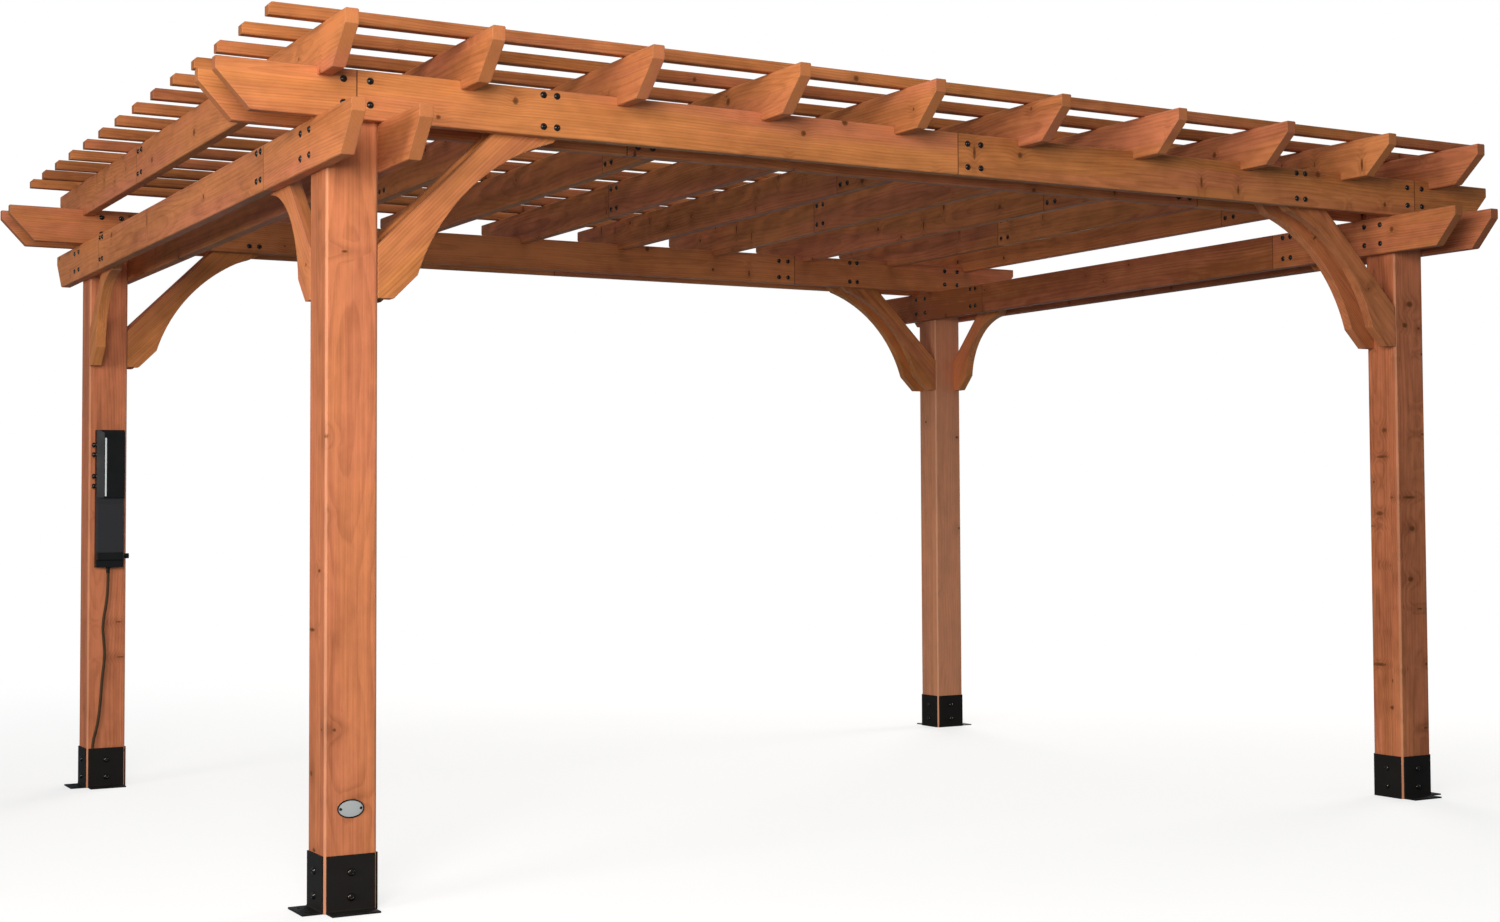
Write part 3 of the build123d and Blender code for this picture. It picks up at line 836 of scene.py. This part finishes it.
def fixOvalPlate(values):
    place = Vector((-postX, -postY - postHalf, values["height"]))

    def oval(inset):
        wide, tall = values["halfWide"] - inset, values["halfTall"] - inset
        turns = [2 * math.pi * step / values["segments"] for step in range(values["segments"])]
        return [(wide * math.cos(a), tall * math.sin(a)) for a in turns]

    field = bmesh.new()
    addRings(field, oval, values["field"], place, (1, 0, 0), (0, 0, 1), True)
    finishPiece(field, "oval_plate_field", coatOf["plate"])
    rim = bmesh.new()
    addRings(rim, oval, values["rim"], place, (1, 0, 0), (0, 0, 1), False)
    for sign in (-1, 1):
        rivet = place + Vector((sign * values["rivetsAt"], -values["rivetLift"], 0))
        addHead(rim, rivet, (0, -1, 0), values["rivetScale"])
    finishPiece(rim, "oval_plate_rim", coatOf["bolt"])


fixOvalPlate(ovalPlate)
print("oval plate fixed")


# outlet box: pale strip on the housing and round knobs on its side

outletTrim = {
    "stripFrom": 0.005,  # above the housing's underside
    "stripTo": 0.242,
    "stripAt": 0.032,  # from the housing's left side
    "stripWide": 0.0065,
    "stripRows": [(0.0, -0.0006), (0.0, 0.0010), (0.0007, 0.0016)],  # inset, height
    "stripSteps": 8,  # round each end
    "knobs": [0.213, 0.174, 0.087, 0.047],  # above the housing's underside
    "knobOut": 0.017,  # from the post
    "knobScale": 1.55,
    "knobProfile": [(0.0, 0.0100), (0.0035, 0.0097), (0.0058, 0.0084), (0.0068, 0.0060), (0.0066, 0.0036),
                    (0.0052, 0.0022), (0.0052, 0.0012), (0.0078, 0.0010), (0.0080, 0.0004), (0.0080, -0.0008)],
}


def trimOutlet(values):
    low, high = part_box("outlet_housing")
    tall = values["stripTo"] - values["stripFrom"]

    def barOutline(inset):
        radius = values["stripWide"] / 2 - inset
        reach = tall / 2 - values["stripWide"] / 2
        turns = [math.pi * step / values["stripSteps"] for step in range(values["stripSteps"] + 1)]
        upper = [(radius * math.cos(a), reach + radius * math.sin(a)) for a in turns]
        return upper + [(-x, -y) for x, y in upper]

    strip = bmesh.new()
    place = Vector((low.x + values["stripAt"], low.y, low.z + (values["stripFrom"] + values["stripTo"]) / 2))
    addRings(strip, barOutline, values["stripRows"], place, (1, 0, 0), (0, 0, 1), True)
    finishPiece(strip, "outlet_strip", coatOf["trim"])
    knobs = bmesh.new()
    for up in values["knobs"]:
        place = Vector((low.x, high.y - values["knobOut"], low.z + up))
        addHead(knobs, place, (-1, 0, 0), values["knobScale"], values["knobProfile"])
    finishPiece(knobs, "outlet_knobs", coatOf["bolt"])


trimOutlet(outletTrim)
print("outlet box trimmed")


# floor, light and background

studio = {
    "floorSize": 60.0,
    "floorDrop": 0.0004,  # below the feet
    "floorSeen": (0.385, 0.360, 0.332, 1),  # shadow-taking share of the floor as it is looked at
    "floorGlow": 0.66,
    "floorBounce": (0.190, 0.250, 0.290, 1),  # light it throws back on the pergola
    "fadeStart": 3.4,  # to plain white, from the pergola's middle
    "fadeEnd": 7.5,
    "worldColor": (0.78, 1.04, 1.25, 1),
    "worldLight": 0.225,
    "lamps": {
        "key": {"place": (-3.9, -5.7, 2.65), "aim": (-1.2, -1.6, 1.4), "size": 2.2, "power": 236.0},
        "side": {"place": (-14.0, -6.0, 2.6), "aim": (0.0, -0.5, 1.4), "size": 5.0, "power": 1120.0},
        "top": {"place": (0.0, 0.0, 9.0), "aim": (0.0, 0.0, 0.0), "size": 6.0, "power": 130.0},
        "right": {"place": (12.0, 1.5, 3.2), "aim": (0.0, 0.5, 1.4), "size": 5.0, "power": 620.0},
        "back": {"place": (5.5, 8.5, 4.2), "aim": (0.0, 0.5, 1.2), "size": 5.0, "power": 620.0},
    },
}


def lookedAt(wires):
    return wires.node("ShaderNodeLightPath").outputs["Is Camera Ray"]


def buildStudio(values):
    half = values["floorSize"] / 2
    mesh = bmesh.new()
    corners = ((-half, -half), (half, -half), (half, half), (-half, half))
    mesh.faces.new([mesh.verts.new((x, y, -values["floorDrop"])) for x, y in corners])
    data = bpy.data.meshes.new("patioFloor")
    mesh.to_mesh(data)
    mesh.free()
    floor = bpy.data.objects.new("patioFloor", data)
    scene.collection.objects.link(floor)
    material = bpy.data.materials.new("paleFloor")
    material.use_nodes = True
    material.node_tree.nodes.clear()
    wires = Wires(material.node_tree)
    away = wires.vector("LENGTH", wires.node("ShaderNodeTexCoord").outputs["Object"])
    fade = wires.ramp(away, values["fadeStart"], values["fadeEnd"])
    bounce = wires.node("ShaderNodeBsdfDiffuse", {"Color": values["floorBounce"]})
    matte = wires.node("ShaderNodeBsdfDiffuse", {"Color": values["floorSeen"]})
    glow = wires.node("ShaderNodeEmission", {"Color": (1, 1, 1, 1), "Strength": values["floorGlow"]})
    white = wires.node("ShaderNodeEmission", {"Color": (1, 1, 1, 1), "Strength": 1.0})
    near = wires.node("ShaderNodeAddShader", {0: matte.outputs[0], 1: glow.outputs[0]})
    faded = wires.node("ShaderNodeMixShader", {0: fade, 1: near.outputs[0], 2: white.outputs[0]})
    blend = wires.node("ShaderNodeMixShader", {0: lookedAt(wires), 1: bounce.outputs[0], 2: faded.outputs[0]})
    wires.node("ShaderNodeOutputMaterial", {"Surface": blend.outputs[0]})
    dress(floor, material)

    world = bpy.data.worlds.new("studioWorld")
    scene.world = world
    world.use_nodes = True
    world.node_tree.nodes.clear()
    wires = Wires(world.node_tree)
    soft = wires.node("ShaderNodeBackground", {"Color": values["worldColor"], "Strength": values["worldLight"]})
    white = wires.node("ShaderNodeBackground", {"Color": (1, 1, 1, 1), "Strength": 1.0})
    blend = wires.node("ShaderNodeMixShader", {0: lookedAt(wires), 1: soft.outputs[0], 2: white.outputs[0]})
    wires.node("ShaderNodeOutputWorld", {"Surface": blend.outputs[0]})

    for name, lamp in values["lamps"].items():
        data = bpy.data.lights.new(name + "Light", "AREA")
        data.shape = "SQUARE"
        data.size = lamp["size"]
        data.energy = lamp["power"]
        light = bpy.data.objects.new(name + "Light", data)
        light.visible_camera = False
        scene.collection.objects.link(light)
        light.location = lamp["place"]
        ray = Vector(lamp["aim"]) - Vector(lamp["place"])
        light.rotation_euler = ray.to_track_quat("-Z", "Y").to_euler()


buildStudio(studio)
scene.view_settings.view_transform = "Standard"
print("studio lit")
